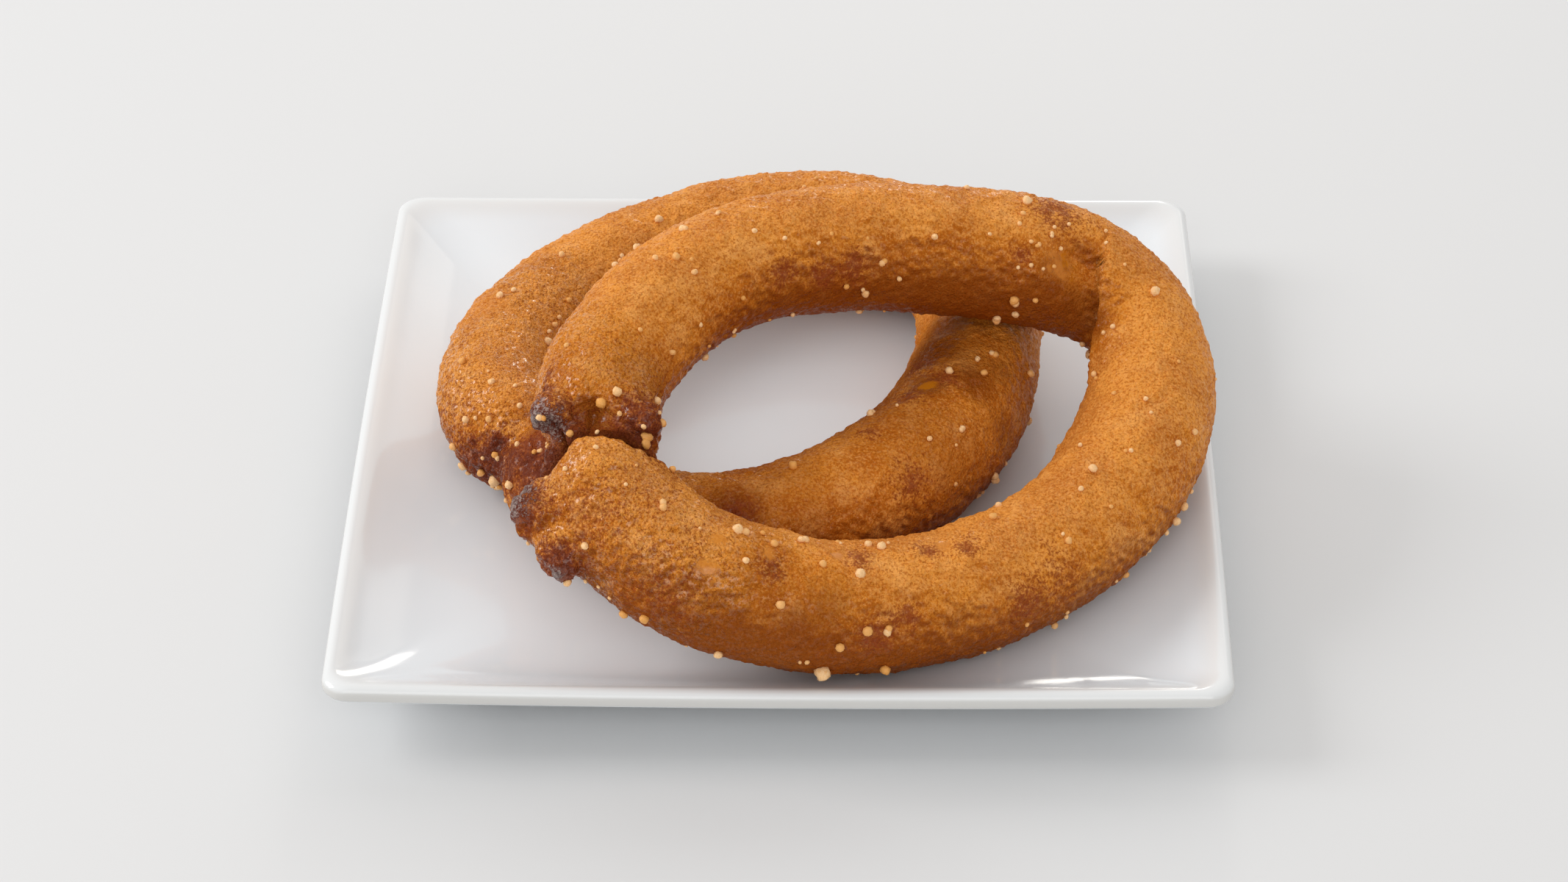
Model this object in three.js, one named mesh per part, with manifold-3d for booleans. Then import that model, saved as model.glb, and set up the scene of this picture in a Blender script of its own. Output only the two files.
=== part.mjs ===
// Two sel roti, ring-shaped fried rice breads, lying on the square porcelain plate they are served on.
//
// Units are millimetres, +Z is up. The origin is on the table under the middle of the plate, +X runs to
// the right along the plate's front edge and +Y runs away from that edge.
//
// The lower ring lies flat on the plate. The upper ring leans on it at the back and at the front left,
// and its front rests on the plate, so it is tipped up towards the back left.

import * as THREE from 'three';
import { mergeVertices } from 'three/addons/utils/BufferGeometryUtils.js';
import Module from 'manifold-3d';

const wasm = await Module();
wasm.setup();

const TURN = 2 * Math.PI;

// ---- driving dimensions: plate ----------------------------------------------------------------

const PLATE_HALF = 101.5;          // half the side, measured at the corners
const PLATE_HEIGHT = 19;           // table to the crest of the rim
const PLATE_CORNER = 6;            // plan radius of the rim's corners
const CORNER_OPENING = 0.14;       // how much wider the corners get for each mm in from the rim
const SIDE_BOW = 0.7;              // how far the middle of a side bulges outwards
const SIDE_SAG = 0.6;              // how far the middle of a side dips below the corners
const WELL_DEPTH = 10.5;           // crest of the rim to the flat floor
const WELL_REACH = 14.5;           // how far in the slope carries before it is mostly spent
const CREST_WIDTH = 0.8;           // from the rim's outer face to where the slope starts
const LIP_FACE = 4;                // height of the rim's upright outer face
const LIP_ROUND = 1.2;             // radius of the rim's edges
const WALL = 4.4;                  // upright thickness of the sloping sides
const FOOT_HALF = 61;              // half the side of the foot ring's outer edge
const FOOT_WIDTH = 3.4;
const FOOT_HEIGHT = 3.4;           // table to the recessed underside
const SIDE_STEPS = 4;              // facets along half a side
const CORNER_STEPS = 6;            // facets round a corner

// ---- driving dimensions: rings ----------------------------------------------------------------

const RING_STEPS = 84;             // facets along the ring
const RING_SIDES = 16;             // facets round its thickness
const SEAM_CROWDING = 0.45;        // how much closer the facets stand near the seam
const BEND_LIMIT = 0.86;           // how near to the centre of a tight bend the inner side may come

// Each ring is drawn in its own flat plane. A station is [x, y, radius], taken anticlockwise from the
// seam where the poured batter met its own start. A knob is [x, y, z, radius], a blister on the ends.

const LOWER_RING = {
  name: 'sel_roti_lower',
  height: 25.3,
  tipX: 0.7,
  tipY: 0.2,
  seam: { slant: 2, width: [8, 14], floor: [0.75, 0.5] },
  stations: [
    [-56, -22, 14.4], [-46, -38, 14.6], [-29, -50.5, 14.9], [-6, -51, 15], [22.5, -33.3, 15.9],
    [40.9, -4.5, 15.9], [46.8, 36, 15], [38, 63, 14.6], [14, 74, 14.8], [-14, 71, 14.9],
    [-45, 51, 14.9], [-65, 23, 14.9], [-68, -2, 14.9],
  ],
  knobs: [[-67, -20, 6, 4.5], [-67, -23, 0, 4], [-61, -27, 4, 4.2]],
};

const UPPER_RING = {
  name: 'sel_roti_upper',
  height: 63.5,
  tipX: 19.85,
  tipY: 14.45,
  seam: { slant: 3, width: [8, 16], floor: [0.75, 0.45] },
  stations: [
    [-43, -58.5, 15.2], [-39, -71.5, 15.4], [-20.5, -86.5, 15.5], [12, -90.9, 14.8], [44, -80.7, 15],
    [69, -61.5, 14.9], [85, -36, 15.8], [89.5, -12, 14.8], [87, 1.5, 13.6], [78.5, 9.5, 14.3],
    [66, 14, 15.4], [45, 14, 15.4], [17, 10, 15], [-11, -0.5, 14.4], [-30, -18, 14.3], [-41.5, -40, 14.6],
  ],
  knobs: [
    [-53, -54, 5, 5.2], [-35.5, -54, 7.5, 5.5], [-55, -69.5, -1.5, 6.4], [-48, -83.5, -3, 6.5],
    [-53.6, -76.5, -2.5, 6.3],
  ],
};

// ---- plate ------------------------------------------------------------------------------------

// Height of the well's surface at a distance in from the rim's outer face.
function wellHeight(inset) {
  return PLATE_HEIGHT - WELL_DEPTH * (1 - Math.exp(-(inset - CREST_WIDTH) / WELL_REACH));
}

// The plate's section from the middle of its underside, round the rim, to the middle of the floor.
function plateSection() {
  const inner = FOOT_HALF - FOOT_WIDTH;
  const lipFoot = PLATE_HEIGHT - LIP_FACE;
  const section = [[0, FOOT_HEIGHT], [inner - 1, FOOT_HEIGHT], [inner, 0], [FOOT_HALF, 0]];
  for (const half of [FOOT_HALF + 0.8, 71, 81, 90, 97]) {
    section.push([half, wellHeight(PLATE_HALF - half) - WALL]);
  }
  const corner = (x, y, from, to) => {
    for (let i = 0; i <= 2; i++) {
      const angle = from + (to - from) * i / 2;
      section.push([x + LIP_ROUND * Math.cos(angle), y + LIP_ROUND * Math.sin(angle)]);
    }
  };
  corner(PLATE_HALF - LIP_ROUND, lipFoot + LIP_ROUND, -TURN / 4, 0);
  corner(PLATE_HALF - LIP_ROUND, PLATE_HEIGHT - LIP_ROUND, 0, TURN / 4);
  for (const inset of [2.6, 5, 8, 12, 17, 23, 31, 42, 58, 78]) {
    section.push([PLATE_HALF - inset, wellHeight(inset)]);
  }
  section.push([0, wellHeight(PLATE_HALF)]);
  return section.map(([half, z]) => new THREE.Vector2(half, z));
}

// A point of the square outline with rounded corners, at a share of the way round it.
function squareOutline(share, half, corner) {
  const perSide = 2 * SIDE_STEPS + CORNER_STEPS;
  const step = Math.round(share * 4 * perSide);
  const side = Math.floor(step / perSide);
  const along = step % perSide;
  const straight = half - corner;
  const point = new THREE.Vector2(half, straight * along / SIDE_STEPS);
  if (along > SIDE_STEPS) {
    const angle = Math.min((along - SIDE_STEPS) / CORNER_STEPS, 1) * TURN / 4;
    point.set(straight + corner * Math.cos(angle), straight + corner * Math.sin(angle));
  }
  if (along > SIDE_STEPS + CORNER_STEPS) {
    point.x = straight * (perSide - along) / SIDE_STEPS;
  }
  return point.rotateAround(new THREE.Vector2(), side * TURN / 4);
}

function makePlate() {
  const turns = 4 * (2 * SIDE_STEPS + CORNER_STEPS);
  const geometry = new THREE.LatheGeometry(plateSection(), turns);
  const { position, uv } = geometry.attributes;
  for (let i = 0; i < position.count; i++) {
    const half = Math.hypot(position.getX(i), position.getZ(i));
    const height = position.getY(i);
    const corner = Math.min(PLATE_CORNER + CORNER_OPENING * (PLATE_HALF - half), half);
    const point = squareOutline(uv.getX(i), half, corner);
    const across = half > 0 ? Math.min(Math.abs(point.x), Math.abs(point.y)) / half : 1;
    const rimShare = Math.max(0, (half - FOOT_HALF) / (PLATE_HALF - FOOT_HALF));
    const bow = rimShare * (1 - across * across);
    const stretch = half > 0 ? 1 + SIDE_BOW * bow / half : 1;
    position.setXYZ(i, point.x * stretch, point.y * stretch, height - SIDE_SAG * bow);
  }
  const porcelain = new THREE.MeshStandardMaterial({ color: 0xf1f1ef, roughness: 0.12, metalness: 0 });
  const plate = new THREE.Mesh(weld(geometry), porcelain);
  plate.name = 'plate';
  return plate;
}

// ---- rings ------------------------------------------------------------------------------------

// A torus laid round the ring's own line and given its thickness, blunt seam and tight bends.
function ringBody({ stations, seam }) {
  const line = new THREE.CatmullRomCurve3(stations.map((s) => new THREE.Vector3(...s)), true);
  line.arcLengthDivisions = 800;
  const length = line.getLength();
  const geometry = new THREE.TorusGeometry(2, 1, RING_SIDES, RING_STEPS);
  const { position, uv } = geometry.attributes;
  for (let i = 0; i < position.count; i++) {
    const share = uv.getX(i) - SEAM_CROWDING * Math.sin(TURN * uv.getX(i)) / TURN;
    const angle = TURN * uv.getY(i);
    const place = line.getPointAt(THREE.MathUtils.euclideanModulo(share, 1));
    const ahead = line.getTangentAt(THREE.MathUtils.euclideanModulo(share, 1));
    const outward = new THREE.Vector3(ahead.y, -ahead.x, 0).normalize();
    const past = (share < 0.5 ? share : share - 1) * length;
    const radius = place.z * bluntness(past, angle, seam);
    const sideways = Math.max(radius * Math.cos(angle), -BEND_LIMIT * bendRadius(line, share));
    position.setXYZ(i,
      place.x + sideways * outward.x,
      place.y + sideways * outward.y,
      radius * Math.sin(angle));
  }
  return weld(geometry);
}

// The ends round off towards the seam like a quarter of an ellipse, down to the seam's floor. The seam
// runs aslant, and its pairs hold the inner and the outer side, because the cleft gapes on the outside.
function bluntness(past, angle, { slant, width, floor }) {
  const outer = (1 + Math.cos(angle)) / 2;
  const reach = THREE.MathUtils.lerp(width[0], width[1], outer);
  const least = THREE.MathUtils.lerp(floor[0], floor[1], outer);
  const inwards = 1 - Math.min(Math.abs(past + slant * Math.cos(angle)) / reach, 1);
  return least + (1 - least) * Math.sqrt(1 - inwards * inwards);
}

// Radius of the line's bend at a share of its length.
function bendRadius(line, share) {
  const step = 0.008;
  const before = line.getTangentAt(THREE.MathUtils.euclideanModulo(share - step, 1));
  const after = line.getTangentAt(THREE.MathUtils.euclideanModulo(share + step, 1));
  return 2 * step * line.getLength() / Math.max(before.angleTo(after), 1e-4);
}

function makeRing(ring) {
  let solid = toSolid(ringBody(ring));
  for (const [x, y, z, radius] of ring.knobs) {
    solid = solid.add(toSolid(weld(new THREE.SphereGeometry(radius, 10, 7).translate(x, y, z))));
  }
  const crust = new THREE.MeshStandardMaterial({ color: 0xb9702c, roughness: 0.5, metalness: 0 });
  const bread = new THREE.Mesh(toGeometry(solid), crust);
  bread.name = ring.name;
  const place = new THREE.Group();
  place.position.z = ring.height;
  place.rotation.set(THREE.MathUtils.degToRad(ring.tipX), THREE.MathUtils.degToRad(ring.tipY), 0);
  place.add(bread);
  return place;
}

// ---- meshes and solids ------------------------------------------------------------------------

// Joins the coincident vertices of a geometry into one closed mesh.
function weld(geometry) {
  geometry.deleteAttribute('normal');
  geometry.deleteAttribute('uv');
  return mergeVertices(geometry, 1e-4);
}

function toSolid(geometry) {
  return new wasm.Manifold(new wasm.Mesh({
    numProp: 3,
    vertProperties: new Float32Array(geometry.attributes.position.array),
    triVerts: new Uint32Array(geometry.index.array),
  }));
}

function toGeometry(solid) {
  const mesh = solid.getMesh();
  const geometry = new THREE.BufferGeometry();
  geometry.setAttribute('position', new THREE.BufferAttribute(mesh.vertProperties, 3));
  geometry.setIndex(new THREE.BufferAttribute(mesh.triVerts, 1));
  return geometry;
}

const selRoti = new THREE.Group();
selRoti.add(makePlate(), makeRing(LOWER_RING), makeRing(UPPER_RING));

export default selRoti;
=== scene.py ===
# Two sel roti, ring-shaped fried rice breads, on a square porcelain plate. The frame gives each piece's
# place and main shape; this script gives the glaze, the crust and the beads of batter fried onto it.
import math
import random

import bmesh
import bpy
import numpy as np
from mathutils import Matrix, Vector, noise
from mathutils.bvhtree import BVHTree


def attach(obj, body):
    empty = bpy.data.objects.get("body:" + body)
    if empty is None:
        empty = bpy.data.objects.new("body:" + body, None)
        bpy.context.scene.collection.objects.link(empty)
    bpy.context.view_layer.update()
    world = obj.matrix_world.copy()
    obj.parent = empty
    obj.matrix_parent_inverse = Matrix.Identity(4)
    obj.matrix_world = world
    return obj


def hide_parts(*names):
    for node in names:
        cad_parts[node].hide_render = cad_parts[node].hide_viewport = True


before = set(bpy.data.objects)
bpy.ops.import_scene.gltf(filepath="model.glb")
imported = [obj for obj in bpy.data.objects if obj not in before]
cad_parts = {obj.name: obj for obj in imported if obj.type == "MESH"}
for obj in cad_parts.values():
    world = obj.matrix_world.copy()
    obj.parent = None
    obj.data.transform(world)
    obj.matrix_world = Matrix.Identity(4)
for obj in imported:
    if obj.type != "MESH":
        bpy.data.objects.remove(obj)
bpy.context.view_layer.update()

# ---- the plate --------------------------------------------------------------------------------
# A square white porcelain plate, cast in a mould and glazed all over but for its foot ring. Its sides
# slope into a flat floor, meet in soft mitres at the corners, and end in an upright rounded lip.

MM = 0.001
WELD_GAP = 1e-6

PLATE_HALF = 101.5
PLATE_HEIGHT = 19.0
PLATE_CORNER = 6.0
CORNER_OPENING = 0.14
SIDE_BOW = 0.7
SIDE_SAG = 0.6
WELL_DEPTH = 10.5
WELL_REACH = 12.5
CREST_ROLL = 3.0
WELL_STEPS = (
    2.3, 2.6, 3, 3.5, 4, 4.5, 5.1, 5.8, 6.7, 8, 10, 12, 14,
    16, 18.5, 21, 24, 27, 31, 36, 42, 50, 60, 72, 86,
)
LIP_FACE = 4.0
LIP_ROUND = 1.2
CREST_ROUND = 1.9
WALL = 4.4
FOOT_HALF = 61.0
FOOT_WIDTH = 3.4
FOOT_HEIGHT = 3.4
FOOT_ROUND = 0.8
COLUMNS = 240
CORNER_SHARE = 0.2


def quarter_round(x, z, radius, start, steps=5):
    """A quarter of a circle round (x, z), anticlockwise from the start angle in degrees."""
    turn = [math.radians(start + 90 * i / steps) for i in range(steps + 1)]
    return [(x + radius * math.cos(a), z + radius * math.sin(a)) for a in turn]


def well_height(inset):
    """The glazed surface: it rolls over the crest, slopes down, and levels out into the floor."""
    inward = inset - CREST_ROUND
    down = inward * inward / (inward + CREST_ROLL)
    return PLATE_HEIGHT - WELL_DEPTH * (1 - math.exp(-down / WELL_REACH))


def plate_section():
    """Distances from the middle and heights: under the plate and out, round the lip, and back inward."""
    inner = FOOT_HALF - FOOT_WIDTH
    lip_foot = PLATE_HEIGHT - LIP_FACE
    section = [(0, FOOT_HEIGHT), (inner * 0.5, FOOT_HEIGHT), (inner - 1.4, FOOT_HEIGHT)]
    section += [(inner - 0.4, FOOT_HEIGHT - 0.5), (inner, FOOT_ROUND + 0.4), (inner + 0.4, 0.2)]
    section += [(inner + 1, 0), (FOOT_HALF - FOOT_ROUND, 0)]
    section += quarter_round(FOOT_HALF - FOOT_ROUND, FOOT_ROUND, FOOT_ROUND, -90)[1:]
    section += [(FOOT_HALF + 0.2, 3.0)]
    section += [(half, well_height(PLATE_HALF - half) - WALL) for half in range(62, 99, 2)]
    section += quarter_round(PLATE_HALF - LIP_ROUND, lip_foot + LIP_ROUND, LIP_ROUND, -90)
    section += quarter_round(PLATE_HALF - CREST_ROUND, PLATE_HEIGHT - CREST_ROUND, CREST_ROUND, 0, 7)
    section += [(PLATE_HALF - inset, well_height(inset)) for inset in WELL_STEPS]
    section += [(0, well_height(PLATE_HALF))]
    return section


def on_square(share, half, corner):
    """The point at this share of the way round a square with rounded corners."""
    side = min(int(share * 4), 3)
    along = share * 4 - side
    straight = half - corner
    straight_share = (1 - CORNER_SHARE) / 2
    if along < straight_share:
        point = Vector((half, straight * along / straight_share))
    elif along > 1 - straight_share:
        point = Vector((straight * (1 - along) / straight_share, half))
    else:
        angle = math.radians(90 * (along - straight_share) / CORNER_SHARE)
        point = Vector((straight + corner * math.cos(angle), straight + corner * math.sin(angle)))
    point.rotate(Matrix.Rotation(math.radians(90 * side), 2))
    return point


def make_plate():
    """A grid whose columns go round the plate and whose rows follow its section, bowed along each side."""
    section = plate_section()
    sheet = bmesh.new()
    bmesh.ops.create_grid(sheet, x_segments=COLUMNS, y_segments=len(section) - 1, size=1)
    for vert in sheet.verts:
        share = round((vert.co.x + 1) / 2 * COLUMNS) / COLUMNS
        half, height = section[round((vert.co.y + 1) / 2 * (len(section) - 1))]
        corner = min(PLATE_CORNER + CORNER_OPENING * (PLATE_HALF - half), half)
        point = on_square(share, half, corner)
        across = min(abs(point.x), abs(point.y)) / half if half else 1
        bow = max(0, (half - FOOT_HALF) / (PLATE_HALF - FOOT_HALF)) * (1 - across * across)
        stretch = 1 + SIDE_BOW * bow / half if half else 1
        place = Vector((point.x * stretch, point.y * stretch, height - SIDE_SAG * bow))
        vert.co = place * MM
    bmesh.ops.remove_doubles(sheet, verts=sheet.verts, dist=WELD_GAP)
    bmesh.ops.recalc_face_normals(sheet, faces=sheet.faces)
    for face in sheet.faces:
        face.smooth = True
    mesh = bpy.data.meshes.new("porcelain_plate")
    sheet.to_mesh(mesh)
    sheet.free()
    plate = bpy.data.objects.new("porcelain_plate", mesh)
    bpy.context.scene.collection.objects.link(plate)
    return plate


class Finish:
    """A material and its node tree, with short ways to add and join nodes."""

    def __init__(self, name):
        self.material = bpy.data.materials.new(name)
        self.material.use_nodes = True
        self.nodes = self.material.node_tree.nodes
        self.links = self.material.node_tree.links
        self.surface = self.nodes["Principled BSDF"]
        coordinates = self.add("ShaderNodeTexCoord")
        self.place = coordinates.outputs["Object"]
        self.facing = coordinates.outputs["Normal"]

    def add(self, kind, **settings):
        node = self.nodes.new(kind)
        for name, value in settings.items():
            setattr(node, name, value)
        return node

    def join(self, source, target):
        self.links.new(source, target)

    def feed(self, socket, value):
        if isinstance(value, bpy.types.NodeSocket):
            self.join(value, socket)
        else:
            socket.default_value = value

    def grain(self, size_mm, detail=2.0, roughness=0.5):
        """A noise of this coarseness, mostly between 0.3 and 0.7."""
        texture = self.add("ShaderNodeTexNoise")
        texture.inputs["Scale"].default_value = 1 / (size_mm * MM)
        texture.inputs["Detail"].default_value = detail
        texture.inputs["Roughness"].default_value = roughness
        self.join(self.place, texture.inputs["Vector"])
        return texture.outputs["Fac"]

    def span(self, value, low, high, to_low=0.0, to_high=1.0):
        """Goes smoothly from to_low to to_high while the value goes from low to high."""
        ramp = self.add("ShaderNodeMapRange", interpolation_type="SMOOTHSTEP")
        self.feed(ramp.inputs["Value"], value)
        limits = {"From Min": low, "From Max": high, "To Min": to_low, "To Max": to_high}
        for name, number in limits.items():
            ramp.inputs[name].default_value = number
        return ramp.outputs["Result"]

    def combine(self, operation, a, b):
        """One value worked out from two."""
        node = self.add("ShaderNodeMath", operation=operation)
        self.feed(node.inputs[0], a)
        self.feed(node.inputs[1], b)
        return node.outputs[0]

    def blend(self, share, a, b):
        """From colour a to colour b as the share goes from 0 to 1."""
        node = self.add("ShaderNodeMix", data_type="RGBA", clamp_factor=True)
        self.feed(node.inputs["Factor"], share)
        self.feed(node.inputs["A"], a)
        self.feed(node.inputs["B"], b)
        return node.outputs["Result"]

    def bump(self, height, depth_mm, strength=1.0, after=None):
        """A fine relief, laid over an earlier one if there is one."""
        node = self.add("ShaderNodeBump")
        node.inputs["Strength"].default_value = strength
        node.inputs["Distance"].default_value = depth_mm * MM
        self.join(height, node.inputs["Height"])
        if after is not None:
            self.join(after, node.inputs["Normal"])
        return node.outputs["Normal"]


PORCELAIN = (0.83, 0.87, 0.90, 1)
PORCELAIN_GREYER = (0.80, 0.84, 0.87, 1)
CREST_GLAZE = (0.78, 0.79, 0.79, 1)
LIP_SHADE = (0.64, 0.635, 0.615, 1)
BARE_FOOT = (0.70, 0.68, 0.64, 1)
FOOT_TO_GLAZE = (0.5 * MM, 0.8 * MM)
SIDE_TO_LIP = (14.2 * MM, 15.5 * MM)
LIP_TO_CREST = (15.5 * MM, 18.8 * MM)

plate = make_plate()
glaze = Finish("white_glaze")
cloudy = glaze.span(glaze.grain(45, 2), 0.35, 0.65)
glazed = glaze.blend(cloudy, PORCELAIN, PORCELAIN_GREYER)
place = glaze.add("ShaderNodeSeparateXYZ")
glaze.join(glaze.place, place.inputs[0])
height = place.outputs["Z"]
facing = glaze.add("ShaderNodeSeparateXYZ")
glaze.join(glaze.facing, facing.inputs[0])
glazed = glaze.blend(glaze.span(height, *LIP_TO_CREST), glazed, CREST_GLAZE)
# Painted shade: the upright faces of the lip, lit less than the tops, get a darker, warmer grey.
upright = glaze.span(glaze.combine("ABSOLUTE", facing.outputs["Z"], 0), 0.2, 0.85, 1.0, 0.0)
shaded_lip = glaze.combine("MULTIPLY", upright, glaze.span(height, *SIDE_TO_LIP))
glazed = glaze.blend(shaded_lip, glazed, LIP_SHADE)
bare = glaze.span(height, *FOOT_TO_GLAZE, 1.0, 0.0)
glaze.join(glaze.blend(bare, glazed, BARE_FOOT), glaze.surface.inputs["Base Color"])
glaze.join(glaze.span(bare, 0, 1, 0.12, 0.8), glaze.surface.inputs["Roughness"])
waviness = glaze.bump(glaze.grain(22, 1.5), depth_mm=0.35, strength=0.35)
orange_peel = glaze.bump(glaze.grain(1.6, 1), depth_mm=0.01, strength=0.2, after=waviness)
glaze.join(orange_peel, glaze.surface.inputs["Normal"])
glaze.surface.inputs["IOR"].default_value = 1.5
glaze.surface.inputs["Coat Weight"].default_value = 0.15
glaze.surface.inputs["Coat Roughness"].default_value = 0.03
plate.data.materials.append(glaze.material)
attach(plate, "root")
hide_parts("plate")

# ---- the crust of both rings ------------------------------------------------------------------
# Sel roti are rings of sweet rice batter poured by hand into hot fat. The skin sets golden and pebbly,
# browns in patches, goes dark red to black on the thin ends, and keeps smooth amber spots of fat.

CRUST_GRID = 0.74
LOST_IN_SOFTENING = 0.3
MARK_FADE = 1.6
CLEFT_DEPTH_REACH = 6
SHARE_STEPS = 20


def ring_skin(node, name):
    """An even, rounded copy of a ring's solid, fine enough to carry the relief of the crust."""
    body = bmesh.new()
    body.from_mesh(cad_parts[node].data)
    bmesh.ops.remove_doubles(body, verts=body.verts, dist=WELD_GAP)
    mesh = bpy.data.meshes.new(name)
    body.to_mesh(mesh)
    body.free()
    skin = bpy.data.objects.new(name, mesh)
    bpy.context.scene.collection.objects.link(skin)
    rounder = skin.modifiers.new("rounder", "SUBSURF")
    rounder.levels = rounder.render_levels = 2
    even = skin.modifiers.new("even", "REMESH")
    even.mode = "VOXEL"
    even.voxel_size = CRUST_GRID * MM
    soften = skin.modifiers.new("soften", "SMOOTH")
    soften.factor = 0.5
    soften.iterations = 6
    return settle(skin)


def settle(skin):
    """Turns the skin's modifiers into its mesh."""
    shaped = skin.evaluated_get(bpy.context.evaluated_depsgraph_get())
    mesh = bpy.data.meshes.new_from_object(shaped)
    mesh.name = skin.name
    skin.modifiers.clear()
    skin.data = mesh
    return skin


def points_and_normals(mesh):
    """Every point in mm and its normal, as two arrays."""
    points = np.empty(len(mesh.vertices) * 3)
    normals = np.empty(len(mesh.vertices) * 3)
    mesh.vertices.foreach_get("co", points)
    mesh.vertex_normals.foreach_get("vector", normals)
    return points.reshape(-1, 3) / MM, normals.reshape(-1, 3)


def near(points, marks):
    """How close each point is to any mark: 1 at a mark's middle, down to 0 at MARK_FADE radii from it."""
    share = np.zeros(len(points))
    for x, y, z, radius in marks:
        away = np.linalg.norm(points - (x, y, z), axis=1) / (MARK_FADE * radius)
        share = np.maximum(share, np.clip(1 - away, 0, 1))
    return share


def from_line(points, line):
    """Each point's distance from a bent line, and its offset from the line's nearest spot."""
    away = np.full(len(points), np.inf)
    offset = np.zeros_like(points)
    for start, end in zip(np.array(line[:-1], float), np.array(line[1:], float)):
        run = end - start
        share = np.clip((points - start) @ run / (run @ run), 0, 1)
        gap = points - (start + share[:, None] * run)
        length = np.linalg.norm(gap, axis=1)
        closer = length < away
        away[closer] = length[closer]
        offset[closer] = gap[closer]
    return away, offset


def in_cleft(points, normals, line, width):
    """1 along a line pressed into the skin, down to 0 at about two widths to either side of it."""
    _, offset = from_line(points, line)
    lift = np.sum(offset * normals, axis=1)
    beside = np.linalg.norm(offset - lift[:, None] * normals, axis=1)
    return np.exp(-((beside / width) ** 2) - (lift / CLEFT_DEPTH_REACH) ** 4)


def keep_share(mesh, name, values):
    """Stores a value at every point, for the crust's colours and gloss to read."""
    mesh.attributes.new(name, "FLOAT", "POINT").data.foreach_set("value", values.astype(np.float32))


def relief(skin, name, size_mm, depth_mm, detail=None, group=None):
    """Raises and sinks the skin by a cloudy noise, all over or where a group of its points says."""
    texture = bpy.data.textures.new(name, "CLOUDS")
    texture.noise_scale = size_mm * MM
    if detail is not None:
        texture.noise_depth = detail
    rise = skin.modifiers.new(name, "DISPLACE")
    rise.texture = texture
    rise.texture_coords = "LOCAL"
    rise.strength = depth_mm * MM
    if group:
        rise.vertex_group = group


def share_group(skin, name, values):
    """A group of the skin's points with a share each, for a modifier to follow."""
    group = skin.vertex_groups.new(name=name)
    steps = np.round(np.clip(values, 0, 1) * SHARE_STEPS).astype(int)
    for step in range(1, SHARE_STEPS + 1):
        members = np.flatnonzero(steps == step)
        if len(members):
            group.add(members.tolist(), step / SHARE_STEPS, "REPLACE")


def make_crust(node, name, marks):
    """A ring's skin, shaped and stained by its marks, all in mm.

    A mark is (x, y, z, radius); a swell adds its height. A cleft is (line, width, depth, darkness of the
    shade painted along it), and a fold, which steps down beyond its line, is (line, upper side, reach,
    depth).
    """
    skin = ring_skin(node, name)
    points, normals = points_and_normals(skin.data)
    rise = np.full(len(points), LOST_IN_SOFTENING)
    for x, y, z, radius, height in marks["swells"]:
        away = np.linalg.norm(points - (x, y, z), axis=1) / radius
        rise += height * np.exp(-2 * away * away)
    crease_shade = np.zeros(len(points))
    # Painted shade along each cleft: its crease is darkened where shade falls in the seam.
    for line, width, depth, darkness in marks["clefts"]:
        rise -= depth * in_cleft(points, normals, line, width)
        crease_shade = np.maximum(crease_shade, darkness * in_cleft(points, normals, line, 1.5 * width))
    for line, upper_side, reach, depth in marks["folds"]:
        away, offset = from_line(points, line)
        sunk = offset @ np.array(upper_side) < 0
        rise -= np.where(sunk, depth, -0.3 * depth) * np.exp(-((away / reach) ** 2))
    points += normals * rise[:, None]
    skin.data.vertices.foreach_set("co", (points * MM).ravel())
    keep_share(skin.data, "crease_shade", crease_shade)
    ends = near(points, marks["ends"])
    amber = near(points, marks["amber"])
    share_group(skin, "pebbly", 1 - 0.9 * np.clip(amber * 2.5, 0, 1))
    share_group(skin, "rugged", np.clip(ends * 1.6, 0, 1))
    share_group(skin, "evened", np.clip(near(points, marks["evened"]) * 2, 0, 1))
    even = skin.modifiers.new(name + "_evened", "SMOOTH")
    even.factor = 0.8
    even.iterations = 90
    even.vertex_group = "evened"
    relief(skin, name + "_lumps", 13, 1.2)
    relief(skin, name + "_dimples", 4.5, 0.5, detail=1)
    relief(skin, name + "_pebbles", 1.4, 0.85, detail=0, group="pebbly")
    relief(skin, name + "_ends", 3, 2.4, detail=2, group="rugged")
    settle(skin)
    for polygon in skin.data.polygons:
        polygon.use_smooth = True
    points, normals = points_and_normals(skin.data)
    for stain in ("browned", "charred", "amber", "oiled", "ends"):
        keep_share(skin.data, stain, near(points, marks[stain]))
    # Painted shade: the undersides and the front and outer flanks, lit less from above and behind, go a
    # darker orange than the tops, a little of it real frying; the marks add the same shade in hollows
    # and under the upper ring.
    shaded_flank = 0.32 - 0.66 * normals[:, 2] - 0.60 * normals[:, 1] - 0.30 * np.abs(normals[:, 0])
    keep_share(skin.data, "shaded_flank", np.maximum(np.clip(shaded_flank, 0, 1), near(points, marks["painted_shade"])))
    return skin


GOLDEN = (0.76, 0.262, 0.028, 1)
PALE_GOLDEN = (0.90, 0.40, 0.10, 1)
AMBER_BROWN = (0.53, 0.147, 0.010, 1)
REDDISH = (0.42, 0.092, 0.004, 1)
SHADE_ORANGE = (0.235, 0.048, 0.003, 1)
RED_BROWN = (0.26, 0.050, 0.013, 1)
PURPLE_BROWN = (0.145, 0.029, 0.013, 1)
CREASE_SHADE = (0.085, 0.013, 0.002, 1)
CHAR = (0.20, 0.135, 0.12, 1)
ASH_GLINT = (0.50, 0.37, 0.32, 1)
FAT_AMBER = (0.60, 0.195, 0.005, 1)


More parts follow.
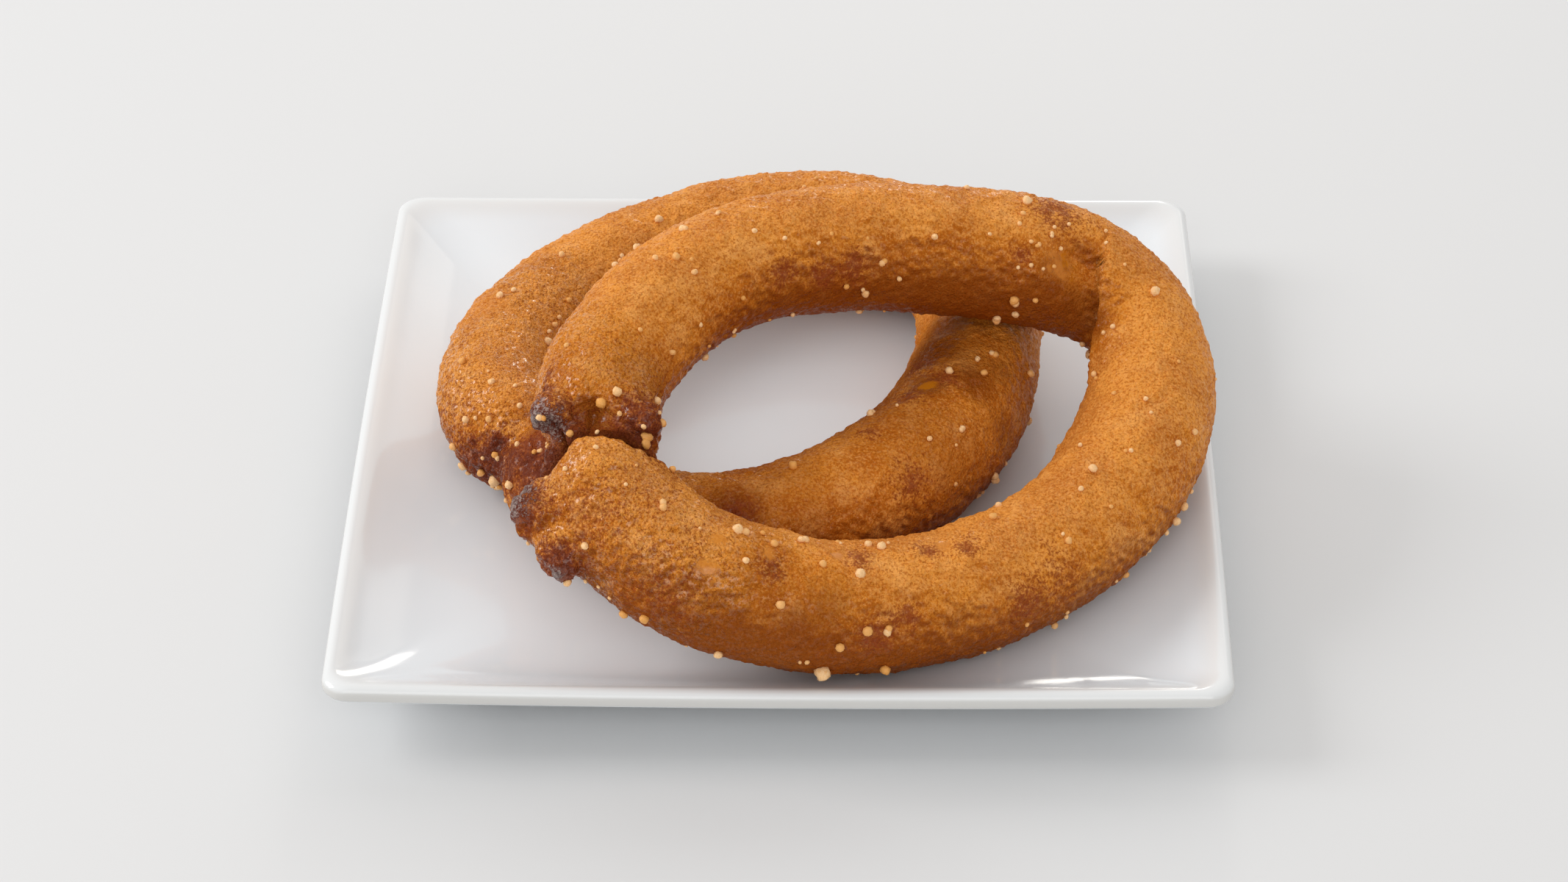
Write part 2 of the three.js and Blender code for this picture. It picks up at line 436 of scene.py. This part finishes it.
def fried_grain():
    """The grain of fried batter: a fine speckle, and the height of round pebbles with wrinkles on them."""
    group = bpy.data.node_groups.new("fried_grain", "ShaderNodeTree")
    group.interface.new_socket(name="Place", in_out="INPUT", socket_type="NodeSocketVector")
    group.interface.new_socket(name="Grains per metre", in_out="INPUT", socket_type="NodeSocketFloat")
    group.interface.new_socket(name="Speckle", in_out="OUTPUT", socket_type="NodeSocketFloat")
    group.interface.new_socket(name="Height", in_out="OUTPUT", socket_type="NodeSocketFloat")
    given = group.nodes.new("NodeGroupInput")
    out = group.nodes.new("NodeGroupOutput")
    speckle = group.nodes.new("ShaderNodeTexNoise")
    speckle.inputs["Detail"].default_value = 3
    speckle.inputs["Roughness"].default_value = 0.65
    pebbles = group.nodes.new("ShaderNodeTexVoronoi")
    wrinkles = group.nodes.new("ShaderNodeTexNoise")
    wrinkles.inputs["Detail"].default_value = 2
    wrinkles.inputs["Distortion"].default_value = 1.2
    rounded = group.nodes.new("ShaderNodeMapRange")
    rounded.interpolation_type = "SMOOTHSTEP"
    rounded.inputs["From Max"].default_value = 0.8
    rounded.inputs["To Min"].default_value = 0.45
    rounded.inputs["To Max"].default_value = 0
    height = group.nodes.new("ShaderNodeMath")
    for texture in (speckle, pebbles, wrinkles):
        group.links.new(given.outputs["Place"], texture.inputs["Vector"])
        group.links.new(given.outputs["Grains per metre"], texture.inputs["Scale"])
    group.links.new(pebbles.outputs["Distance"], rounded.inputs["Value"])
    group.links.new(rounded.outputs["Result"], height.inputs[0])
    group.links.new(wrinkles.outputs["Fac"], height.inputs[1])
    group.links.new(speckle.outputs["Fac"], out.inputs["Speckle"])
    group.links.new(height.outputs[0], out.inputs["Height"])
    return group


FRIED_GRAIN = fried_grain()


def grained(finish, size_mm):
    node = finish.add("ShaderNodeGroup", node_tree=FRIED_GRAIN)
    node.inputs["Grains per metre"].default_value = 1 / (size_mm * MM)
    finish.join(finish.place, node.inputs["Place"])
    return node.outputs["Speckle"], node.outputs["Height"]


def attribute(finish, name):
    return finish.add("ShaderNodeAttribute", attribute_name=name).outputs["Fac"]


def roughened(finish, value, noise_value, amount):
    """A mask with its edge broken up by noise, and still 0 well away from it."""
    ragged_edge = finish.combine("MULTIPLY", finish.combine("SUBTRACT", noise_value, 0.5), amount)
    ragged_edge = finish.combine("MULTIPLY", ragged_edge, finish.span(value, 0.0, 0.15))
    return finish.combine("ADD", value, ragged_edge)


crust = Finish("fried_crust")
browned = attribute(crust, "browned")
charred = attribute(crust, "charred")
crease_shade = attribute(crust, "crease_shade")
amber = attribute(crust, "amber")
oiled = attribute(crust, "oiled")
ends = attribute(crust, "ends")
shaded_flank = attribute(crust, "shaded_flank")
speckle, skin_height = grained(crust, 0.65)
ragged = crust.grain(2.6, 3, 0.65)
finely_ragged = crust.combine(
    "ADD", crust.combine("MULTIPLY", ragged, 0.5), crust.combine("MULTIPLY", speckle, 0.5)
)
broad = crust.grain(15, 3, 0.55)
mottled = crust.grain(8, 2)
blotched = crust.grain(3.4, 3, 0.7)

# The golden skin, its mottling and its speckle.
colour = crust.blend(crust.span(broad, 0.36, 0.62), AMBER_BROWN, GOLDEN)
colour = crust.blend(crust.span(mottled, 0.50, 0.74, 0, 0.6), colour, PALE_GOLDEN)
# Painted light: the tops, which face the light, are blended paler.
colour = crust.blend(crust.span(shaded_flank, 0.0, 0.25, 0.3, 0), colour, PALE_GOLDEN)
colour = crust.blend(crust.span(blotched, 0.50, 0.74, 0, 0.35), colour, AMBER_BROWN)
colour = crust.blend(crust.span(speckle, 0.50, 0.62, 0, 0.6), colour, REDDISH)
colour = crust.blend(crust.span(speckle, 0.37, 0.49, 0.45, 0), colour, PALE_GOLDEN)

# Painted shade on the flanks and in the crease, and the browned patches and ends.
toward_shaded_flank = roughened(crust, shaded_flank, broad, 0.5)
toward_brown = roughened(crust, browned, finely_ragged, 2.6)
toward_end = roughened(crust, ends, finely_ragged, 1.8)
colour = crust.blend(crust.span(toward_shaded_flank, 0.1, 0.9, 0, 0.88), colour, SHADE_ORANGE)
colour = crust.blend(crust.span(toward_brown, 0.25, 1.0, 0, 0.8), colour, RED_BROWN)
colour = crust.blend(crust.span(toward_end, 0.12, 0.6, 0, 0.85), colour, RED_BROWN)
colour = crust.blend(crust.span(toward_end, 0.45, 0.9, 0, 0.9), colour, PURPLE_BROWN)
colour = crust.blend(crust.span(crease_shade, 0.15, 0.7, 0, 0.95), colour, CREASE_SHADE)

# The charred nubs, flecked with pale ash grey that is partly painted glints, and the amber spots of fat.
toward_char = roughened(crust, charred, finely_ragged, 1.8)
colour = crust.blend(crust.span(toward_char, 0.04, 0.34), colour, PURPLE_BROWN)
colour = crust.blend(crust.span(toward_char, 0.34, 0.66), colour, CHAR)
ash_glint_flecks = crust.combine("MULTIPLY", crust.span(toward_char, 0.1, 0.4), crust.span(speckle, 0.50, 0.60))
colour = crust.blend(crust.combine("MULTIPLY", ash_glint_flecks, 0.6), colour, ASH_GLINT)
fat = crust.span(roughened(crust, amber, ragged, 1.5), 0.28, 0.75)
colour = crust.blend(crust.combine("MULTIPLY", fat, 0.75), colour, FAT_AMBER)
crust.join(colour, crust.surface.inputs["Base Color"])

# A film of oil that glints in patches, and the fine relief under it.
wet = crust.span(roughened(crust, oiled, broad, 1.2), 0.0, 0.5, 0.35, 1.0)
glints = crust.combine("MULTIPLY", wet, crust.span(crust.grain(1.1, 2), 0.46, 0.60))
glints = crust.combine("MULTIPLY", glints, crust.span(crease_shade, 0.0, 0.5, 1.0, 0.0))
glints = crust.combine("MULTIPLY", glints, crust.span(speckle, 0.48, 0.60, 1.0, 0.1))
glossy = crust.combine("MAXIMUM", glints, crust.combine("MULTIPLY", fat, 0.7))
crust.join(glossy, crust.surface.inputs["Coat Weight"])
crust.surface.inputs["Coat Roughness"].default_value = 0.16
crust.join(crust.span(wet, 0, 1, 0.48, 0.32), crust.surface.inputs["Roughness"])
skin_height = crust.combine("MULTIPLY", skin_height, crust.span(fat, 0, 1, 1.0, 0.15))
skin_height = crust.combine("MULTIPLY", skin_height, crust.span(wet, 0.3, 1.0, 1.0, 1.7))
crust.join(crust.bump(skin_height, depth_mm=0.36), crust.surface.inputs["Normal"])
crust.surface.inputs["IOR"].default_value = 1.45
crust.surface.inputs["Specular IOR Level"].default_value = 0.05

# ---- the lower ring ---------------------------------------------------------------------------
# The lower ring lies flat on the plate. Its two ends meet at the front left, where the upper ring hides
# the join, and they have browned to a purplish red.

LOWER_MARKS = {
    "ends": [
        (-71, -23, 22, 9), (-66, -28, 25, 9), (-62, -34.5, 32, 8), (-57, -38, 34, 9), (-52, -39, 36, 8),
        (-68, -26, 30, 5), (-55, -43, 35, 7),
    ],
    "browned": [
        (-66, -27, 28, 8), (-73, -8, 24, 14), (-68, -14, 30, 8), (-62, 26, 28, 11), (-74, 8, 30, 8),
        (30, -18, 40, 4.5), (38, -11, 41, 4.5), (32, -3, 38, 4), (30, -43, 34, 5.5), (20, -33, 40, 3),
        (-10, -60, 37, 5),
    ],
    "charred": [(-68, -21, 22, 2)],
    # Painted shade, where the upper ring hangs over this ring's arms.
    "painted_shade": [
        (34, -14, 41, 6), (47, -3, 33, 8), (47, -14, 28, 8), (40, 12, 36, 8), (-56, -31, 39, 7),
        (28, -26, 24, 19), (0, -50, 22, 18), (40, 0, 25, 18), (8, -62, 25, 9),
        (36, 2, 38, 9), (-10, -59, 37, 9), (44, -10, 38, 7),
    ],
    "amber": [(34, -14.5, 41, 2.4)],
    "oiled": [(-71, -4, 34, 20), (-72, -20, 29, 11), (-60, 30, 40, 10)],
    "swells": [],
    "evened": [(-67, -24, 32, 6), (-67, -25.5, 27, 6.5), (-66.5, -26.5, 21, 6)],
    "clefts": [],
    "folds": [],
}
lower = make_crust("sel_roti_lower", "lower_sel_roti", LOWER_MARKS)
lower.data.materials.append(crust.material)
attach(lower, "root")
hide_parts("sel_roti_lower")

# ---- the upper ring ---------------------------------------------------------------------------
# The upper ring leans on the lower one and on the plate. Its blunt ends face each other at the left, with
# nubs of batter that fried to charcoal, and its far right bend is pinched into a crease and a hollow.

UPPER_MARKS = {
    "ends": [
        (-52, -61, 62, 8), (-53, -54, 63, 5), (-30, -61, 62, 8), (-48, -64, 62, 5), (-54, -66, 57, 5),
        (-51.5, -62, 54, 6), (-52, -65, 51, 5), (-58, -76, 52, 7.5), (-48.5, -88, 43, 6.5),
    ],
    "browned": [
        (17, -4, 67, 5), (0, -11, 70, 4), (9, -7, 67, 4), (65, 19, 69, 8), (56, 6, 64, 3), (22, -97, 31, 5),
        (28, -94, 34, 4), (56, -80, 29, 6), (33, -78, 41, 3.5), (42, -76, 41, 4), (-1, -92, 47, 4),
        (18, -84, 44, 4), (-52, -48, 67, 3), (-30, -59, 64, 6), (-48, -88, 44, 5), (-36, -77, 49, 14),
        (-40, -66, 56, 9), (-30, -70, 52, 10), (-38, -44, 58, 12), (-22, -88, 42, 12), (60, -70, 28, 8),
    ],
    "charred": [(-53, -61.5, 62.5, 4.6), (-58.5, -75, 52, 4.2), (-49, -89, 42, 1.8)],
    # Painted shade in the valley between the nubs, in the pinched hollow and bend, and on the low front.
    "painted_shade": [
        (-46, -63, 62, 4), (-42, -63, 63, 5), (-37, -64, 63, 4.5), (-42, -60, 63, 6), (-36, -46, 54, 17),
        (67, 7, 61, 4), (61, 7, 60, 3.5), (66, 3, 50, 9), (63, 4, 55, 6), (72, 1, 49, 7), (60, 3, 52, 6),
        (4, -100, 35, 8), (-9, -100, 37, 6), (-4, -92, 36, 11), (8, -94, 34, 10), (-46, -72, 58, 3),
    ],
    "amber": [
        (66, 7, 61.5, 5), (37, -76, 41, 2), (13, -85, 44, 2), (-15, -95, 49, 2.5), (-13, -89, 52, 2.2),
        (-2, -89, 48, 2),
    ],
    "oiled": [
        (-44, -66, 60, 22), (-38, -76, 60, 22), (-50, -40, 66, 12), (-20, -88, 52, 16), (-40, -84, 50, 14),
        (-6, -88, 48, 8),
    ],
    "swells": [
        (-51, -59.5, 64, 5.5, 2.6), (-30.5, -59.5, 62.5, 5.5, 3.0), (-41.5, -60, 65, 5, -3.6),
        (-42, -64, 63, 4, -1.5), (-56, -76, 52, 5, 1.8), (-47, -88, 43, 4.5, 1.6), (-55, -81, 48, 4, -1.6),
        (-38, -76, 62, 9, 1.2), (68, 9, 63, 8, -2.0),
    ],
    # The last number of a cleft is how dark the painted shade along it is; the last line is only painted
    # shade.
    "clefts": [
        ([(-54, -66, 58), (-50, -66, 61.5), (-42, -66.5, 65), (-34, -67, 64), (-28, -66, 60)], 1.3, 6, 1.0),
        ([(-52, -66, 61), (-56, -67, 56), (-60, -67, 49), (-61, -67, 42)], 4.5, 10.5, 0.0),
        ([(-28, -66, 60), (-25, -63, 52), (-24, -61, 44)], 2.2, 3.5, 0.6),
        ([(-50, -64.5, 61), (-42, -64.5, 63.5), (-34, -65, 62.5)], 1.5, 0.6, 0.6),
        ([(-52, -65, 61), (-56, -66, 56), (-60, -66.5, 49), (-61, -67, 42)], 3.0, 0.0, 0.85),
    ],
    "evened": [],
    "folds": [([(74.5, 6, 60), (74.2, 3, 55), (74, 1, 49), (73.5, -4, 42)], (1, -0.2, 0), 7.5, 5.0)],
}
upper = make_crust("sel_roti_upper", "upper_sel_roti", UPPER_MARKS)
upper.data.materials.append(crust.material)
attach(upper, "root")
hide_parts("sel_roti_upper")

# ---- the beads of batter ----------------------------------------------------------------------
# Drops of batter that spatter off the pouring hand fry into hard cream to golden beads. The crust picks
# them up as it turns in the fat, most of them at the ends and along the lower outer edge.

SMALLEST_BEAD = 0.36
COMMON_BEAD_EXTRA = 0.32
RARE_BEAD_EXTRA = 0.8
SINGLE_SHARE = 0.82
GOLDEN_CLUSTER = 4
CLUSTER_TONE = 0.85
TWIN_SHRINK = 0.15
FLATTENED = (0.75, 1.0)
STANDING_OUT = (0.25, 0.6)
WOBBLE = 0.3
WOBBLE_SIZE = 0.9


def bead_spots(skin, seed, count, chance):
    """Seeded places on a skin: the place, the normal, the radius in mm, and 1 for a golden cluster."""
    draw = random.Random(seed)
    mesh = skin.data
    spots = []
    while len(spots) < count:
        face = mesh.polygons[draw.randrange(len(mesh.polygons))]
        if draw.random() < chance(face.center / MM, face.normal):
            radius = SMALLEST_BEAD + COMMON_BEAD_EXTRA * draw.random() + RARE_BEAD_EXTRA * draw.random() ** 4
            spots.append((face.center.copy(), face.normal.copy(), radius, 0))
    return spots


def nearest_spots(skin, wanted):
    """The spots on a skin closest to the wanted (x, y, z, radius, golden)."""
    tree = BVHTree.FromPolygons([v.co for v in skin.data.vertices], [p.vertices for p in skin.data.polygons])
    spots = []
    for x, y, z, radius, golden in wanted:
        place, normal, _, _ = tree.find_nearest(Vector((x, y, z)) * MM)
        spots.append((place, normal, radius, golden))
    return spots


def make_beads(name, spots, seed):
    """Lumpy little drops sunk into the skin, single, in pairs, or in a golden cluster."""
    draw = random.Random(seed)
    batch = bmesh.new()
    tone = batch.verts.layers.float.new("tone")
    for place, normal, radius, golden in spots:
        twins = 1 if draw.random() < SINGLE_SHARE else 2
        twins = GOLDEN_CLUSTER if golden else twins
        for twin in range(twins):
            size = radius * (1 - TWIN_SHRINK * twin)
            aside = Vector((draw.uniform(-1, 1), draw.uniform(-1, 1), draw.uniform(-1, 1)))
            aside = (aside - normal * aside.dot(normal)).normalized() * radius * min(twin, 1)
            drop = bmesh.ops.create_uvsphere(batch, u_segments=8, v_segments=6, radius=size * MM)["verts"]
            bmesh.ops.scale(batch, vec=(1, 1, draw.uniform(*FLATTENED)), verts=drop)
            bmesh.ops.rotate(batch, matrix=normal.to_track_quat("Z", "Y").to_matrix(), verts=drop)
            centre = place + normal * size * draw.uniform(*STANDING_OUT) * MM + aside * MM
            shade = max(draw.random(), CLUSTER_TONE * golden)
            for vert in drop:
                wobble = noise.noise((vert.co + centre) / (WOBBLE_SIZE * MM)) * WOBBLE
                vert.co = vert.co * (1 + wobble) + centre
                vert[tone] = shade
    for face in batch.faces:
        face.smooth = True
    mesh = bpy.data.meshes.new(name)
    batch.to_mesh(mesh)
    batch.free()
    beads = bpy.data.objects.new(name, mesh)
    bpy.context.scene.collection.objects.link(beads)
    return beads


CREAM = (0.93, 0.59, 0.29, 1)
BEAD_GOLD = (0.80, 0.37, 0.085, 1)

batter = Finish("fried_batter_beads")
bead_tone = batter.span(attribute(batter, "tone"), 0.35, 0.95, 0, 1)
bead_colour = batter.blend(bead_tone, CREAM, BEAD_GOLD)
pits, bead_height = grained(batter, 0.45)
bead_colour = batter.blend(batter.span(pits, 0.48, 0.64, 0, 0.55), bead_colour, BEAD_GOLD)
batter.join(bead_colour, batter.surface.inputs["Base Color"])
batter.surface.inputs["Roughness"].default_value = 0.38
batter.surface.inputs["Specular IOR Level"].default_value = 0.35
batter.join(batter.bump(bead_height, depth_mm=0.12, strength=0.8), batter.surface.inputs["Normal"])

ANYWHERE = 0.2
LOW_SIDE_START = 0.25


def crowding(ends, at_ends, underneath):
    """The chance that a bead stays at a place: greater near a ring's ends and on its low sides."""

    def chance(place, normal):
        ends_near = near(np.array([place]), ends)[0]
        low_side = max(0, -normal.z + LOW_SIDE_START)
        return min(1, ANYWHERE + at_ends * ends_near + underneath * low_side)

    return chance


around_lower = crowding(LOWER_MARKS["ends"], 2.0, 0.35)
around_upper = crowding(UPPER_MARKS["ends"], 2.5, 0.45)

UPPER_BEADS = [
    (6, -82, 46, 1.1, 0), (18, -89, 42, 1.2, 0), (10, -89, 45, 0.9, 0), (1, -98, 41, 1.1, 0),
    (20, -97, 33, 1.2, 0), (14, -99, 30, 1.1, 0), (11, -101, 20, 1.8, 0), (24, -100, 18, 1.3, 0),
    (-13, -98, 27, 1.1, 0), (-30, -98, 33, 1.1, 0), (20, -78, 42, 1.0, 0), (23, -79, 42, 1.1, 0),
    (87, 3, 56, 1.2, 0), (54, 3, 54, 1.2, 0), (48, -65, 40, 1.0, 0), (95, -41, 24, 1.1, 0),
    (91, -44, 24, 1.1, 0), (-23, -8, 79, 0.9, 0), (-24, -18, 79, 1.0, 0), (-40, -59, 67, 1.3, 0),
    (-31, -62, 60, 1.7, 1), (-28, -59, 61, 1.1, 0), (-28, -51, 62, 1.1, 0), (-25, -84, 57, 1.0, 0),
    (-9, -85, 51, 1.3, 0), (-7, -85, 51, 1.0, 0), (35, 4, 70, 0.8, 0), (65, -68, 36, 0.9, 0),
    (-1, -86, 48, 0.9, 0), (-7, -92, 48, 0.8, 0), (23, -2, 67, 0.8, 0),
    (56, 14, 70, 0.7, 0), (55, 12, 69, 0.6, 0), (58, 8.6, 66, 0.6, 0), (64, 13, 68, 0.5, 0),
    (63, 11, 67, 0.6, 0), (67, 15, 67, 0.5, 0), (60, 8, 66, 0.6, 0), (61, 5, 61, 0.5, 0),
    (64, 6, 61, 0.6, 0), (66, 9, 64, 0.6, 0), (58, 5, 62, 0.6, 0), (55, 4, 62, 0.5, 0),
    (77, -25, 46, 0.6, 0), (84, -28, 47, 0.6, 0), (85, -32, 46, 0.5, 0), (80, -43, 43, 0.6, 0),
    (91, -36, 40, 0.8, 0), (95, -31, 40, 0.8, 0), (68, -55, 41, 0.7, 0), (78, -4, 50, 0.7, 0),
    (0, -6, 76, 0.6, 0), (-20, -21, 77, 0.7, 0), (-10, -18, 68, 0.6, 0), (-19, -29, 68, 0.6, 0),
    (-32, -39, 73, 0.6, 0), (11, -2, 75, 0.6, 0), (-38, -16, 75, 0.8, 0), (-25, -39, 67, 0.7, 0),
]
LOWER_BEADS = [
    (-62, -38, 30, 1.2, 0), (-71, -24, 21, 1.0, 0), (-74, -18, 33, 0.9, 0), (-68, -12, 39, 1.0, 0),
    (-69, 23, 40, 1.0, 0), (-32, 57, 40, 1.1, 0), (3, -45, 39, 1.1, 0), (49, -22, 20, 1.2, 0),
    (50, 1, 39, 0.9, 0), (47, -7, 39, 0.9, 0), (39, -9, 41, 1.0, 0), (42, -26, 37, 0.8, 0),
    (-67, -25, 28, 0.9, 0), (-67, -22, 16, 0.9, 0), (-55, 40, 41, 0.9, 0), (-41, 44, 38, 0.7, 0),
    (-76, -2, 38, 1.0, 0), (-53, 26, 37, 0.8, 0), (-66, 25, 40, 0.7, 0), (-56, 17, 36, 0.7, 0),
    (-55, 20, 36, 0.6, 0), (-57, 14, 36, 0.6, 0), (-63, -14, 40, 0.6, 0),
]
for skin, name, seed, count, chance, wanted in (
    (lower, "lower_batter_beads", 11, 165, around_lower, LOWER_BEADS),
    (upper, "upper_batter_beads", 23, 215, around_upper, UPPER_BEADS),
):
    spots = nearest_spots(skin, wanted) + bead_spots(skin, seed, count, chance)
    beads = make_beads(name, spots, seed)
    beads.data.materials.append(batter.material)
    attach(beads, "root")

# ---- the table, the light and the camera ------------------------------------------------------
# The plate stands on a plain pale table, in soft daylight from a window at the left and a bright wall
# behind. Two narrow panes behind it give the long gleams on the plate's rim.

bpy.ops.mesh.primitive_plane_add(size=6)
table = bpy.context.object
table.name = "table"
tabletop = Finish("pale_table")
tabletop.surface.inputs["Base Color"].default_value = (0.70, 0.70, 0.70, 1)
tabletop.surface.inputs["Roughness"].default_value = 0.6
table.data.materials.append(tabletop.material)

world = bpy.data.worlds.new("daylight")
bpy.context.scene.world = world
world.use_nodes = True
world.node_tree.nodes["Background"].inputs["Color"].default_value = (1.0, 0.99, 0.98, 1)
world.node_tree.nodes["Background"].inputs["Strength"].default_value = 0.62

PLATE_MIDDLE = Vector((0, 0, 0))
WINDOW_CREAM = (1.0, 0.95, 0.87)


def soft_light(name, place, size, power, colour=(1, 1, 1), glossy=True):
    """An oblong light at a place, turned toward the plate."""
    data = bpy.data.lights.new(name, "AREA")
    data.shape = "RECTANGLE"
    data.size, data.size_y = size
    data.energy = power
    data.color = colour
    light = bpy.data.objects.new(name, data)
    light.location = place
    light.visible_glossy = glossy
    light.rotation_euler = (PLATE_MIDDLE - Vector(place)).to_track_quat("-Z", "Y").to_euler()
    bpy.context.scene.collection.objects.link(light)


soft_light("left_window", (-1.7, 0.2, 1.1), (0.9, 1.0), 17.5)
soft_light("far_wall", (0.0, 1.9, 1.55), (6.0, 1.6), 24, glossy=False)
soft_light("room", (0.0, -1.8, 1.2), (2.0, 1.2), 12.5)
soft_light("tall_pane", (0.72, 1.9, 1.15), (0.5, 0.45), 0.6, WINDOW_CREAM)
soft_light("low_pane", (0.175, 1.9, 0.5), (0.19, 0.95), 3.7, WINDOW_CREAM)

LENS = 100.24
SENSOR = 36
CAMERA_PLACE = (0.01840, -0.85074, 0.63018)
CAMERA_AZIMUTH = math.radians(1.252)
CAMERA_ELEVATION = math.radians(35.897)
CAMERA_ROLL = math.radians(-0.4126)

camera_data = bpy.data.cameras.new("camera")
camera_data.lens = LENS
camera_data.sensor_width = SENSOR
camera = bpy.data.objects.new("camera", camera_data)
turned = Matrix.Rotation(CAMERA_AZIMUTH, 3, "Z")
turned = turned @ Matrix.Rotation(math.radians(90) - CAMERA_ELEVATION, 3, "X")
turned = turned @ Matrix.Rotation(CAMERA_ROLL, 3, "Z")
camera.matrix_world = Matrix.Translation(CAMERA_PLACE) @ turned.to_4x4()
bpy.context.scene.collection.objects.link(camera)
bpy.context.scene.camera = camera
bpy.context.scene.view_settings.view_transform = "Standard"
